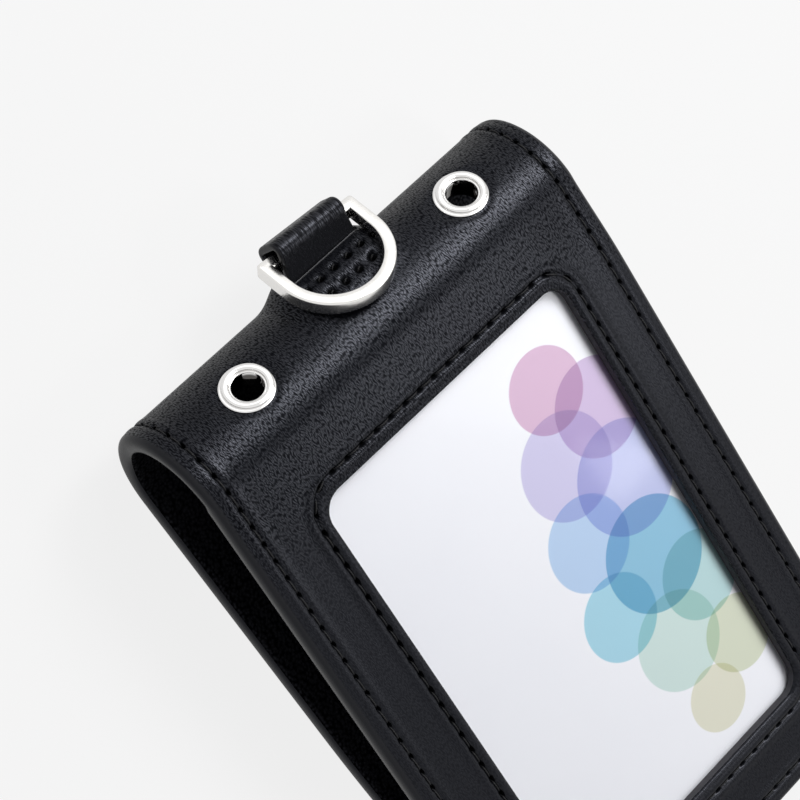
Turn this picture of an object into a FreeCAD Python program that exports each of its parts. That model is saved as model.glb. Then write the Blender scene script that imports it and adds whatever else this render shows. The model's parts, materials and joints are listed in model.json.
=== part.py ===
import FreeCAD, Part
import math
import os

# Folded leather badge wallet with a clear window, an id card, four eyelets and a D-ring on a strap.
# Modelled with the front panel flat on the XY plane: X across, Y towards the fold, Z out of the front.
# The origin of that working frame is where the front panel runs into the fold, on its outer face.
# At the end everything is turned and moved once, so that the back panel lies on the table.

# The card, and how far it lies from the fold and inside the panel's edges
card_width = 54.0
card_length = 85.6
card_thickness = 0.76
card_corner_radius = 3.18
card_top_from_fold = 5.6
side_margin = 9.0
foot_margin = 7.2

# Strip of leather, folded over once
fold_radius = 11.6
cover_thickness = 1.6
lining_thickness = 1.2
edge_round = 1.3
lining_chamfer = 0.7
bottom_corner_radius = 7.0

# Fold, by angles around its axis from the front's normal
spine_start_angle = 72.0
spine_end_angle = 117.0
spine_gap_angle = 0.8
mouth_angle = 8.0

# Back panel: it closes on the front by a small angle, runs straight and then bends to meet its tip
closing_angle = 6.1
back_straight = 44.0
back_bend_radius = 120.0
tip_gap = 0.5

# Window and what lies behind it
window_side_overlap = 2.9
window_top_overlap = 3.4
window_foot_overlap = 5.5
window_shift = 0.7
window_corner_radius = 3.5
film_thickness = 0.3
film_overlap = 3.3
film_side_clearance = 0.1
card_clearance = 0.05
card_side_clearance = 0.5
card_foot_clearance = 0.3
pocket_thickness = 0.7
pocket_chamfer = 0.4
pocket_mouth = 0.5

# Eyelets on the shoulders of the fold
eyelet_spacing = 42.0
eyelet_angle = 51.0
eyelet_back_angle = 38.0
eyelet_bore_radius = 2.4
eyelet_wall = 0.3
eyelet_flange_radius = 4.0
eyelet_dome = 0.6
eyelet_rim = 0.12
eyelet_slope = 0.42
eyelet_seat = 0.35
eyelet_hole_clearance = 0.1
eyelet_seat_clearance = 0.15
washer_radius = 3.7
washer_thickness = 0.4
washer_seat = 0.4
washer_clearance = 0.03
lip_radius = 3.3
lip_thickness = 0.35

# Strap that stands out of a slit in the fold and holds the D-ring
strap_width = 12.6
strap_thickness = 1.2
strap_shift = 0.5
strap_reach = 4.8
strap_height = 1.0
strap_skew = -3.8
strap_ply_gap = 0.1
slit_clearance = 0.25
neck_root = 0.4
tail_clearance = 0.05
tail_end_angle = 54.0
tail_side_clearance = 0.3

# D-ring, swinging on its own straight bar
ring_inner_width = 14.0
ring_wire_width = 1.8
ring_wire_height = 2.4
ring_arc_from_bar = 4.6
ring_corner_radius = 0.6
ring_chamfer = 0.3
ring_tilt = 51.3
bar_clearance = 0.3

# Worked out from the sizes above
panel_width = card_width + 2.0 * side_margin
panel_length = card_top_from_fold + card_length + foot_margin
half_width = panel_width / 2.0
inner_radius = fold_radius - cover_thickness
lining_radius = inner_radius - lining_thickness
film_depth = cover_thickness + film_thickness
card_depth = film_depth + card_clearance
pocket_depth = card_depth + card_thickness + card_clearance
front_thickness = pocket_depth + pocket_thickness
back_thickness = cover_thickness + lining_thickness
back_angle = 180.0 + closing_angle
pocket_half_width = card_width / 2.0 + card_side_clearance
pocket_foot = -(card_top_from_fold + card_length + card_foot_clearance)
window_width = card_width - 2.0 * window_side_overlap
window_top = -(card_top_from_fold + window_top_overlap)
window_foot = window_foot_overlap - card_top_from_fold - card_length
eyelet_barrel_radius = eyelet_bore_radius + eyelet_wall
flange_seat = fold_radius - eyelet_seat
washer_top = lining_radius - washer_seat
washer_foot = washer_top - washer_thickness
bar_half_diagonal = max(math.hypot(ring_wire_width / 2.0 - ring_chamfer, ring_wire_height / 2.0),
                        math.hypot(ring_wire_width / 2.0, ring_wire_height / 2.0 - ring_chamfer))
loop_bore = bar_half_diagonal + bar_clearance
loop_radius = loop_bore + strap_thickness
loop_y = fold_radius + strap_reach
loop_z = strap_height - fold_radius
neck_half = strap_thickness + strap_ply_gap / 2.0
ring_inner_radius = ring_inner_width / 2.0
ring_outer_radius = ring_inner_radius + ring_wire_width
far = 4.0 * fold_radius


def vec(x, y, z):
    return FreeCAD.Vector(x, y, z)


def on_fold(radius, angle, x=0.0):
    """A point at a radius and an angle around the axis of the fold."""
    turn = math.radians(angle)
    return vec(x, radius * math.sin(turn), radius * math.cos(turn) - fold_radius)


def line(start, end):
    return Part.LineSegment(start, end).toShape()


def arc(start, middle, end):
    return Part.Arc(start, middle, end).toShape()


def fold_arc(radius, first, last):
    return arc(on_fold(radius, first), on_fold(radius, (first + last) / 2.0), on_fold(radius, last))


def across(edges, width, centre=0.0):
    """A solid of constant section, from a closed outline in the YZ plane."""
    face = Part.Face(Part.Wire(edges))
    face.translate(vec(centre - width / 2.0, 0.0, 0.0))
    return face.extrude(vec(width, 0.0, 0.0))


def fold_sector(inner, outer, first, last, width, centre=0.0):
    """A bent strip around the axis of the fold."""
    edges = [fold_arc(outer, first, last), line(on_fold(outer, last), on_fold(inner, last)),
             fold_arc(inner, last, first), line(on_fold(inner, first), on_fold(outer, first))]
    return across(edges, width, centre)


def rounded_plate(width, top, foot, upper, lower, radius, centre=0.0):
    """A flat plate with four rounded corners."""
    plate = Part.makeBox(width, top - foot, upper - lower, vec(centre - width / 2.0, foot, lower))
    upright = [e for e in plate.Edges if abs(e.tangentAt(e.FirstParameter).z) > 0.99]
    return plate.makeFillet(radius, upright)


def panel_outline(top, foot):
    """A tall block with the panel's plan: square at the fold, round at the two bottom corners."""
    block = Part.makeBox(panel_width, top - foot, 2.0 * far, vec(-half_width, foot, -far))
    corners = [e for e in block.Edges if abs(e.tangentAt(e.FirstParameter).z) > 0.99
               and e.CenterOfMass.y < foot + 1.0]
    return block.makeFillet(bottom_corner_radius, corners)


def middle_of(edge):
    return edge.valueAt((edge.FirstParameter + edge.LastParameter) / 2.0)


def rim_edges(shape, on_face, foot):
    """The side and bottom edges that lie on one face of a panel."""
    rim = []
    for edge in shape.Edges:
        point = middle_of(edge)
        at_side = abs(abs(point.x) - half_width) < 0.01
        at_foot = foot is not None and point.y < foot + bottom_corner_radius
        if on_face(point) and (at_side or at_foot):
            rim.append(edge)
    return rim


def fold_distance(point):
    return math.hypot(point.y, point.z + fold_radius)


def eyelet_places(angle):
    """Left and right places on the fold, with local Z along the eyelet's axis."""
    turn = FreeCAD.Rotation(vec(1.0, 0.0, 0.0), -angle)
    sides = (("left", -eyelet_spacing / 2.0), ("right", eyelet_spacing / 2.0))
    return [(side, FreeCAD.Placement(vec(x, 0.0, -fold_radius), turn)) for side, x in sides]


def placed(shape, placement):
    copy = shape.copy()
    copy.Placement = placement.multiply(copy.Placement)
    return copy


def cut_eyelets(shape, angle, seat_from, seat_to, seat_radius):
    """Barrel holes and flat seats for one pair of eyelets."""
    hole_radius = eyelet_barrel_radius + eyelet_hole_clearance
    hole = Part.makeCylinder(hole_radius, fold_radius, vec(0, 0, lining_radius / 2.0))
    width = seat_radius + eyelet_seat_clearance
    seat = Part.makeCylinder(width, seat_to - seat_from, vec(0, 0, seat_from))
    for _, place in eyelet_places(angle):
        shape = shape.cut(placed(hole, place)).cut(placed(seat, place))
    return shape


def cut_cover_eyelets(shape, angle):
    above = flange_seat + eyelet_flange_radius
    return cut_eyelets(shape, angle, flange_seat, above, eyelet_flange_radius)


def cut_lining_eyelets(shape, angle):
    return cut_eyelets(shape, angle, washer_top - washer_radius, washer_top, washer_radius)


def front_cover():
    """Outer leather of the front, with the window and the front shoulder of the fold."""
    foot = -panel_length
    depth = -cover_thickness
    edges = [line(vec(0, foot, 0), vec(0, 0, 0)), fold_arc(fold_radius, 0.0, spine_start_angle),
             line(on_fold(fold_radius, spine_start_angle), on_fold(inner_radius, spine_start_angle)),
             fold_arc(inner_radius, spine_start_angle, 0.0), line(vec(0, 0, depth), vec(0, foot, depth)),
             line(vec(0, foot, depth), vec(0, foot, 0))]
    cover = across(edges, panel_width).common(panel_outline(far, foot))

    def outside(point):
        return abs(point.z) < 0.01 if point.y < 0.0 else abs(fold_distance(point) - fold_radius) < 0.01

    cover = cover.makeFillet(edge_round, rim_edges(cover, outside, foot))
    window = rounded_plate(window_width, window_top, window_foot, 1.0, depth - 1.0,
                           window_corner_radius, window_shift)
    return cut_cover_eyelets(cover.cut(window), eyelet_angle)


def slit_box():
    """Where the strap passes through the spine of the fold."""
    half = neck_half + slit_clearance
    width = strap_width + 2.0 * slit_clearance
    corner = vec(strap_shift - width / 2.0, lining_radius / 2.0, loop_z - half)
    return Part.makeBox(width, fold_radius, 2.0 * half, corner)


def tail_notch(last):
    """Room in the lining for the strap's sewn tail."""
    width = strap_width + 2.0 * tail_side_clearance
    first = tail_end_angle - math.degrees(tail_side_clearance / lining_radius)
    return fold_sector(lining_radius / 2.0, inner_radius + 1.0, first, last, width, strap_shift)


def spine_cover():
    """Outer leather along the top of the fold, which bends when the wallet opens."""
    last = spine_end_angle - spine_gap_angle
    spine = fold_sector(inner_radius, fold_radius, spine_start_angle, last, panel_width)

    def outside(point):
        return abs(fold_distance(point) - fold_radius) < 0.01

    return spine.makeFillet(edge_round, rim_edges(spine, outside, None)).cut(slit_box())


def heading(angle):
    """Direction of the back panel, away from the fold, at an angle to the front."""
    turn = math.radians(angle)
    return vec(0.0, -math.cos(turn), math.sin(turn))


def inward(angle):
    """Direction from the back panel's outer face towards the front."""
    turn = math.radians(angle)
    return vec(0.0, math.sin(turn), math.cos(turn))


def back_points(depth, bend):
    """Corners of the back panel's run at a depth below its outer face, for a bend of so many degrees."""
    start = on_fold(fold_radius - depth, back_angle)
    straight_end = start + heading(closing_angle) * back_straight
    centre = straight_end + inward(closing_angle) * (back_bend_radius - depth)
    middle = centre - inward(closing_angle + bend / 2.0) * (back_bend_radius - depth)
    bend_end = centre - inward(closing_angle + bend) * (back_bend_radius - depth)
    run = (bend_end.y + panel_length) / math.cos(math.radians(closing_angle + bend))
    return start, straight_end, middle, bend_end, bend_end + heading(closing_angle + bend) * run


def tip_bend():
    """The bend that brings the tip of the back lining up to the front's pocket."""
    low, high = 0.0, 45.0
    for _ in range(40):
        trial = (low + high) / 2.0
        tip = back_points(back_thickness, trial)[-1]
        if tip.z < -front_thickness - tip_gap:
            low = trial
        else:
            high = trial
    return (low + high) / 2.0


def back_sheet(upper, lower):
    """A sheet of the back panel between two depths, from the spine to the tip."""
    bend = tip_bend()
    outer = back_points(upper, bend)
    inner = back_points(lower, bend)
    edges = [fold_arc(fold_radius - upper, spine_end_angle, back_angle), line(outer[0], outer[1]),
             arc(outer[1], outer[2], outer[3]), line(outer[3], outer[4]), line(outer[4], inner[4]),
             line(inner[4], inner[3]), arc(inner[3], inner[2], inner[1]), line(inner[1], inner[0]),
             fold_arc(fold_radius - lower, back_angle, spine_end_angle),
             line(on_fold(fold_radius - lower, spine_end_angle),
                  on_fold(fold_radius - upper, spine_end_angle))]
    foot = max(outer[4].y, inner[4].y)
    return across(edges, panel_width).common(panel_outline(far, foot)), foot


def on_back_sheet(depth):
    """Tells whether a point lies on the back panel's face at a depth."""
    bend = tip_bend()
    start, straight_end, _, bend_end, _ = back_points(depth, bend)
    centre = straight_end + inward(closing_angle) * (back_bend_radius - depth)

    def test(point):
        flat = vec(0.0, point.y, point.z)
        if abs(fold_distance(point) - (fold_radius - depth)) < 0.01:
            return True
        if abs((flat - start).dot(inward(closing_angle))) < 0.01:
            return True
        if abs((flat - centre).Length - back_bend_radius + depth) < 0.01:
            return True
        return abs((flat - bend_end).dot(inward(closing_angle + bend))) < 0.01

    return test


def back_cover():
    """Outer leather of the back, with the back shoulder of the fold."""
    cover, foot = back_sheet(0.0, cover_thickness)
    cover = cover.makeFillet(edge_round, rim_edges(cover, on_back_sheet(0.0), foot))
    return cut_cover_eyelets(cover, back_angle - eyelet_back_angle)


def back_lining():
    """Inner leather of the back."""
    lining, foot = back_sheet(cover_thickness, back_thickness)
    lining = lining.makeChamfer(lining_chamfer, rim_edges(lining, on_back_sheet(back_thickness), foot))
    return cut_lining_eyelets(lining, back_angle - eyelet_back_angle)


def shoulder_lining():
    """Inner leather of the front shoulder, from the card's mouth to the spine."""
    lining = fold_sector(lining_radius, inner_radius, mouth_angle, spine_start_angle, panel_width)
    lining = lining.cut(tail_notch(spine_start_angle + 1.0))
    return cut_lining_eyelets(lining, eyelet_angle)


def spine_lining():
    """Inner leather along the top of the fold, which bends with the spine."""
    last = spine_end_angle - spine_gap_angle
    lining = fold_sector(lining_radius, inner_radius, spine_start_angle, last, panel_width)
    half = neck_half + slit_clearance
    notch_end = math.degrees(math.atan2(lining_radius, strap_height - half)) + spine_gap_angle
    lining = cut_lining_eyelets(lining.cut(tail_notch(notch_end)), eyelet_angle)
    return cut_lining_eyelets(lining, back_angle - eyelet_back_angle)


def window_film():
    """Clear film behind the window."""
    width = 2.0 * (pocket_half_width - film_side_clearance)
    top = window_top + film_overlap
    foot = window_foot - film_overlap
    return rounded_plate(width, top, foot, -cover_thickness, -film_depth,
                         window_corner_radius, window_shift)


def id_card():
    """The card, loose in its pocket behind the film."""
    top = -card_top_from_fold
    return rounded_plate(card_width, top, top - card_length, -card_depth, -card_depth - card_thickness,
                         card_corner_radius, window_shift)


def front_plate(top, upper, lower):
    """A flat sheet with the front panel's plan, up to the pocket's mouth."""
    corner = vec(-half_width, -panel_length, lower)
    box = Part.makeBox(panel_width, panel_length + top, upper - lower, corner)
    return box.common(panel_outline(far, -panel_length))


def pocket_filler():
    """Filler round the card on three sides, as thick as the film and the card."""
    sheet = front_plate(-pocket_mouth, -cover_thickness, -pocket_depth)
    room = rounded_plate(2.0 * pocket_half_width, far, pocket_foot, 0.0, -front_thickness,
                         card_corner_radius, window_shift)
    return sheet.cut(room)


def pocket_lining():
    """Inner leather that closes the card's pocket."""
    sheet = front_plate(-pocket_mouth, -pocket_depth, -front_thickness)

    def inside(point):
        return abs(point.z + front_thickness) < 0.01

    return sheet.makeChamfer(pocket_chamfer, rim_edges(sheet, inside, -panel_length))


def turned(edges):
    """A ring from an outline in the XZ plane, turned around Z."""
    return Part.Face(Part.Wire(edges)).revolve(vec(0, 0, 0), vec(0, 0, 1), 360.0)


def eyelet():
    """Domed flange, barrel and clenched lip, on its own axis."""
    inner, barrel, outer = eyelet_bore_radius, eyelet_barrel_radius, eyelet_flange_radius
    crown = flange_seat + eyelet_dome
    throat = flange_seat + eyelet_rim
    lip_foot = washer_foot - lip_thickness
    points = [vec(inner, 0, throat), vec(inner + eyelet_slope, 0, crown),
              vec(outer - eyelet_slope, 0, crown),
              vec(outer, 0, throat), vec(outer, 0, flange_seat), vec(barrel, 0, flange_seat),
              vec(barrel, 0, washer_foot), vec(lip_radius, 0, washer_foot),
              vec(barrel, 0, lip_foot), vec(inner, 0, lip_foot)]
    return turned([line(a, b) for a, b in zip(points, points[1:] + points[:1])])


def washer():
    """Flat ring that the eyelet is clenched over, on the same axis."""
    inner = eyelet_barrel_radius + washer_clearance
    points = [vec(inner, 0, washer_foot), vec(washer_radius, 0, washer_foot),
              vec(washer_radius, 0, washer_top), vec(inner, 0, washer_top)]
    return turned([line(a, b) for a, b in zip(points, points[1:] + points[:1])])


def skew():
    """The strap and its ring stand a little askew out of the slit."""
    turn = FreeCAD.Rotation(vec(0.0, 0.0, 1.0), strap_skew)
    return FreeCAD.Placement(vec(0, 0, 0), turn, vec(strap_shift, fold_radius, 0.0))


def strap_loop():
    """Strap folded round the ring's bar, its neck through the slit and its tail under the cover."""
    left = strap_shift - strap_width / 2.0
    along = vec(1.0, 0.0, 0.0)
    loop = Part.makeCylinder(loop_radius, strap_width, vec(left, loop_y, loop_z), along)
    bore = Part.makeCylinder(loop_bore, strap_width, vec(left, loop_y, loop_z), along)
    root = inner_radius - tail_clearance
    neck_foot = math.sqrt(root ** 2 - (abs(strap_height) + neck_half) ** 2)
    corner = vec(left, neck_foot - neck_root, loop_z - neck_half)
    neck = Part.makeBox(strap_width, loop_y - neck_foot + neck_root, 2.0 * neck_half, corner)
    neck_last = math.degrees(math.atan2(neck_foot, strap_height - neck_half))
    tail = fold_sector(lining_radius, root, tail_end_angle, neck_last, strap_width, strap_shift)
    return placed(loop.fuse(neck).cut(bore), skew()).fuse(tail).removeSplitter()


def ring_outline(radius, arc_y, top):
    """A D: two legs, a half round below and a straight bar above."""
    left, right = vec(-radius, top, 0), vec(radius, top, 0)
    left_arc, right_arc = vec(-radius, arc_y, 0), vec(radius, arc_y, 0)
    return Part.Wire([line(left, left_arc), arc(left_arc, vec(0, arc_y - radius, 0), right_arc),
                      line(right_arc, right), line(right, left)])


def d_ring():
    """Flat-section ring, at rest lying over the front shoulder of the fold."""
    half = ring_wire_width / 2.0
    outer = Part.Face(ring_outline(ring_outer_radius, -ring_arc_from_bar, half))
    inner = Part.Face(ring_outline(ring_inner_radius, -ring_arc_from_bar, -half))
    ring = outer.extrude(vec(0, 0, ring_wire_height)).cut(inner.extrude(vec(0, 0, ring_wire_height)))
    corners = [e for e in ring.Edges if abs(middle_of(e).y - half) < 0.01
               and abs(e.tangentAt(e.FirstParameter).z) > 0.99]
    ring = ring.makeFillet(ring_corner_radius, corners)
    level = [e for e in ring.Edges if abs(e.tangentAt(e.FirstParameter).z) < 0.01
             and abs(e.tangentAt(e.LastParameter).z) < 0.01]
    ring = ring.makeChamfer(ring_chamfer, level)
    ring.translate(vec(0, 0, -ring_wire_height / 2.0))
    turn = FreeCAD.Rotation(vec(1, 0, 0), -ring_tilt)
    return placed(ring, skew().multiply(FreeCAD.Placement(vec(strap_shift, loop_y, loop_z), turn)))


def all_nodes():
    nodes = {"front_cover": front_cover(), "spine_cover": spine_cover(), "back_cover": back_cover(),
             "shoulder_lining": shoulder_lining(), "spine_lining": spine_lining(),
             "back_lining": back_lining(), "window_film": window_film(), "id_card": id_card(),
             "pocket_filler": pocket_filler(), "pocket_lining": pocket_lining(),
             "strap_loop": strap_loop(), "d_ring": d_ring()}
    for panel, angle in (("front", eyelet_angle), ("back", back_angle - eyelet_back_angle)):
        for side, place in eyelet_places(angle):
            nodes["eyelet_%s_%s" % (panel, side)] = placed(eyelet(), place)
            nodes["washer_%s_%s" % (panel, side)] = placed(washer(), place)
    return nodes


def on_table(nodes):
    """Turn the back panel level and put the origin under the middle of the wallet's box."""
    level = FreeCAD.Placement(vec(0, 0, 0), FreeCAD.Rotation(vec(1, 0, 0), closing_angle))
    turned_nodes = {name: placed(shape, level) for name, shape in nodes.items()}
    box = FreeCAD.BoundBox()
    for shape in turned_nodes.values():
        box.add(shape.optimalBoundingBox(False))
    drop = FreeCAD.Placement(vec(-box.Center.x, -box.Center.y, -box.ZMin), FreeCAD.Rotation())
    print("working frame's origin on the table: %.4f %.4f %.4f" % tuple(drop.multVec(vec(0, 0, 0))))
    return {name: placed(shape, drop) for name, shape in turned_nodes.items()}


def main():
    os.makedirs("parts", exist_ok=True)
    for name, shape in on_table(all_nodes()).items():
        shape.exportStep("parts/%s.step" % name)


main()
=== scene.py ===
import json
import math

import bpy
import numpy as np
from mathutils import Matrix, Vector


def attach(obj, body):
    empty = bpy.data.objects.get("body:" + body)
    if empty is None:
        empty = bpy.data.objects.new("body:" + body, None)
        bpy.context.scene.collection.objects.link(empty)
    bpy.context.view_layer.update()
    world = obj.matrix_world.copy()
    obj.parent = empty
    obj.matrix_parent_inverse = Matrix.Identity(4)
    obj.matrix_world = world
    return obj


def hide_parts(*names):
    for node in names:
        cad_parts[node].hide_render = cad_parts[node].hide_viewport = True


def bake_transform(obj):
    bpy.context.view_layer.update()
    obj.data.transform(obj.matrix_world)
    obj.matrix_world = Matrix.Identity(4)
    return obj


# Looks of the folded leather badge wallet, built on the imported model.
# Sizes are in millimetres in the strip's own frame: u across, v along the strip's outer face from the
# line where the front runs into the fold, and h out of the leather. strip() and to_row() place them.

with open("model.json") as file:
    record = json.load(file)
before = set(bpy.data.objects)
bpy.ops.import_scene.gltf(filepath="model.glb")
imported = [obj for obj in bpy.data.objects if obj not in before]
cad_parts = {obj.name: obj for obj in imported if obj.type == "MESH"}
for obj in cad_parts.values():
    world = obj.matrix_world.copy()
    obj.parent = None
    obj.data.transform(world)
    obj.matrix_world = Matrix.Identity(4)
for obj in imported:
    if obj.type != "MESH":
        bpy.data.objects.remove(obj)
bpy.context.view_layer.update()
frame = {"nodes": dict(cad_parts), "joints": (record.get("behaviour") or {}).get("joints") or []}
MM = 0.001

# Folded strip
HALF_WIDTH = 36.0
FRONT_LENGTH = 98.4
FOLD_RADIUS = 11.6
COVER = 1.6
FOLD_THICKNESS = 2.8
FRONT_THICKNESS = 3.46
CLOSING = math.radians(6.1)
BACK_ANGLE = math.pi + CLOSING
FOLD_LENGTH = FOLD_RADIUS * BACK_ANGLE
BACK_STRAIGHT = 44.0
BEND_RADIUS = 120.0
TIP_GAP = 0.5
CORNER = 7.0
SPINE_START = FOLD_RADIUS * math.radians(72.0)
SPINE_END = FOLD_RADIUS * math.radians(117.0)
MOUTH = -0.5
SHOULDER_SLACK = 0.75
BACK_SLACK = 0.65
FOLD_ROWS_END = 40.0

# Painted edge: how far it rounds in from the outline, above and below its middle
EDGE_TOP = 1.15
EDGE_FOOT = 0.55
EDGE_MIDDLE = 0.48
TOP_STEPS = 9
FOOT_STEPS = 6

# Window, its seam and the seam round the panels
WINDOW_X = 0.7
WINDOW_HALF = 24.1
WINDOW_TOP = -9.0
WINDOW_FOOT = -85.7
WINDOW_CORNER = 3.5
WINDOW_SEAM_HALF = 25.86
WINDOW_SEAM_TOP = -6.5
WINDOW_SEAM_FOOT = -87.9
WINDOW_SEAM_CORNER = 5.2
WINDOW_SIDE_HOLE = WINDOW_SEAM_TOP - 6.0
WINDOW_PITCH = 2.85
EDGE_SEAM = 3.0
EDGE_PITCH = 2.977
LEFT_HOLE = 1.39
RIGHT_HOLE = -0.84
THREAD = 0.13
THREAD_SINK = 0.42
THREAD_ARCH = 0.38
STITCH_GAP = 0.35
SEAM_PUFF = 0.1
SEAM_GROOVE = 0.16
HOLE_DEPTH = 0.55
RIM_DROP = 0.28
RIM_ROUND = 0.4
RIM_PUFF = 0.16
SEAM_REACH = 6.0

# Linings, card pocket, and the grid spacing beside seams and rims
LINING_THICKNESS = 0.5
LINING_INSET = 0.35
LINING_CUT = 2.9
POCKET_HALF = 27.5
POCKET_FOOT = -91.5
FILLER_FOOT = -2.72
FILLER_INSET = 0.8
FINE = 0.14

# Eyelets, strap and ring
EYELET_X = 21.0
EYELET_ANGLE = math.radians(51.0)
EYELET_BACK = BACK_ANGLE - math.radians(38.0)
EYELET_FLANGE = 3.88
EYELET_SEAT = 0.35
EYELET_CUT = 3.1
EYELET_DENT = 0.14
FRONT_CROWN = 0.59
BACK_CROWN = 0.4
SEAT_HEIGHT = FOLD_RADIUS - EYELET_SEAT
STRAP_X = 0.5
STRAP_HALF = 6.3
STRAP_THICKNESS = 1.2
STRAP_TAPER = 0.11
STRAP_REACH = 4.8
STRAP_HEIGHT = 1.0
STRAP_SKEW = math.radians(-3.8)
SLIT_FRONT = 16.0
SLIT_BACK = 18.6
SLIT_RISE = 2.3
TAIL_ROWS = (14.0, 11.7)
TAIL_PITCH = 2.6
TAIL_HOLES = (-2.6, -3.0)
TAIL_STITCH = (0.42, 0.15)
TAIL_LIFT = 0.16
RING_HALF = 7.0
RING_WIDTH = 1.8
RING_HEIGHT = 2.4
RING_ARC = 4.6
RING_CORNER = 0.5
RING_ROUND = 0.3
RING_TILT = math.radians(51.3)

# Camera that took the photograph
CAMERA_PLACE = (-0.14079, 0.14561, 0.33835)
CAMERA_RIGHT = (0.676565, -0.552422, 0.486919)
CAMERA_UP = (0.634204, 0.773155, -0.004050)
CAMERA_LENS = 121.3

# Stage, in metres, and the strength of its white
FLOOR_HALF = 3.0
FLOOR_DROP = 0.0002
FLOOR_WHITE = 0.935
FLOOR_WHITE_SHARE = 0.9
WORLD_WHITE = 0.97
WORLD_LIGHT = 0.1

# Where the working frame of strip() stands in the row frame
RING_Y = [joint["pos_m"][1] / MM for joint in frame["joints"] if joint["name"] == "ring_swing"][0]
ORIGIN_Z = FOLD_RADIUS * (1.0 + math.cos(CLOSING))
LOOP_Y = FOLD_RADIUS + STRAP_REACH
LOOP_Z = STRAP_HEIGHT - FOLD_RADIUS
BAR_Y = FOLD_RADIUS + STRAP_REACH * math.cos(STRAP_SKEW)
ORIGIN_Y = RING_Y - BAR_Y * math.cos(CLOSING) + LOOP_Z * math.sin(CLOSING)


# Places on the strip

def smooth(low, high, x):
    t = np.clip((x - low) / (high - low), 0.0, 1.0)
    return t * t * (3.0 - 2.0 * t)


def bell(x, width):
    return np.exp(-(x / width) ** 2)


def run_of_back(bend):
    """Z of the strip's inner face at the tip of the back, and the straight run up to it, for a bend."""
    turn = BACK_ANGLE + bend
    radius = BEND_RADIUS - FOLD_THICKNESS
    inner = FOLD_RADIUS - FOLD_THICKNESS
    y = (inner * math.sin(BACK_ANGLE) + BACK_STRAIGHT * math.cos(BACK_ANGLE)
         + radius * (math.sin(turn) - math.sin(BACK_ANGLE)))
    z = (inner * math.cos(BACK_ANGLE) - FOLD_RADIUS - BACK_STRAIGHT * math.sin(BACK_ANGLE)
         + radius * (math.cos(turn) - math.cos(BACK_ANGLE)))
    run = (-FRONT_LENGTH - y) / math.cos(turn)
    return z - run * math.sin(turn), run


def solve_bend():
    """The bend that brings the tip of the back up to the front's lining."""
    low, high = 0.0, math.radians(45.0)
    for _ in range(40):
        trial = (low + high) / 2.0
        if run_of_back(trial)[0] < -FRONT_THICKNESS - TIP_GAP:
            low = trial
        else:
            high = trial
    return (low + high) / 2.0


BEND = solve_bend()
BEND_LENGTH = BEND * BEND_RADIUS
TIP = FOLD_LENGTH + BACK_STRAIGHT + BEND_LENGTH + run_of_back(BEND)[1]


def strip(u, v, h):
    """Points of the strip in the working frame: front panel level, Z out of it, Y towards the fold."""
    u, v, h = np.broadcast_arrays(np.asarray(u, float), np.asarray(v, float), np.asarray(h, float))
    turn = np.clip(v, 0.0, FOLD_LENGTH) / FOLD_RADIUS
    run = np.clip(v - FOLD_LENGTH, 0.0, BACK_STRAIGHT)
    bend = np.clip(v - FOLD_LENGTH - BACK_STRAIGHT, 0.0, BEND_LENGTH) / BEND_RADIUS
    rest = np.maximum(v - FOLD_LENGTH - BACK_STRAIGHT - BEND_LENGTH, 0.0)
    last = BACK_ANGLE + bend
    y = (np.minimum(v, 0.0) + FOLD_RADIUS * np.sin(turn) + run * math.cos(BACK_ANGLE)
         + BEND_RADIUS * (np.sin(last) - math.sin(BACK_ANGLE)) + rest * np.cos(last))
    z = (FOLD_RADIUS * (np.cos(turn) - 1.0) - run * math.sin(BACK_ANGLE)
         + BEND_RADIUS * (np.cos(last) - math.cos(BACK_ANGLE)) - rest * np.sin(last))
    facing = turn + bend
    h = h - slack(u, v, h)
    return np.stack([u, y + h * np.sin(facing), z + h * np.cos(facing)], -1)


def slack(u, v, h):
    """How far the fold lies in from its round section: at its right end and, outside only, behind there."""
    shoulder = SHOULDER_SLACK * smooth(23.0, 35.0, u) * smooth(-13.0, 2.0, v) * smooth(20.0, 12.0, v)
    behind = BACK_SLACK * smooth(5.0, 14.0, u) * smooth(12.0, 21.0, v) * smooth(41.0, 34.0, v)
    return shoulder + behind * smooth(-2.0, -0.6, h)


def to_row(points):
    """From the working frame in millimetres to the row frame in metres."""
    x, y, z = np.moveaxis(np.asarray(points, float), -1, 0)
    c, s = math.cos(CLOSING), math.sin(CLOSING)
    return np.stack([x, y * c - z * s + ORIGIN_Y, y * s + z * c + ORIGIN_Z], -1) * MM


def askew(points):
    """Turns points of the strap and ring the little way that they stand askew out of the slit."""
    x, y, z = np.moveaxis(np.asarray(points, float), -1, 0)
    c, s = math.cos(STRAP_SKEW), math.sin(STRAP_SKEW)
    return np.stack([STRAP_X + (x - STRAP_X) * c - (y - FOLD_RADIUS) * s,
                     FOLD_RADIUS + (x - STRAP_X) * s + (y - FOLD_RADIUS) * c, z], -1)


# Meshes

def add_object(name, data):
    thing = bpy.data.objects.new(name, data)
    bpy.context.scene.collection.objects.link(thing)
    return thing


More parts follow.
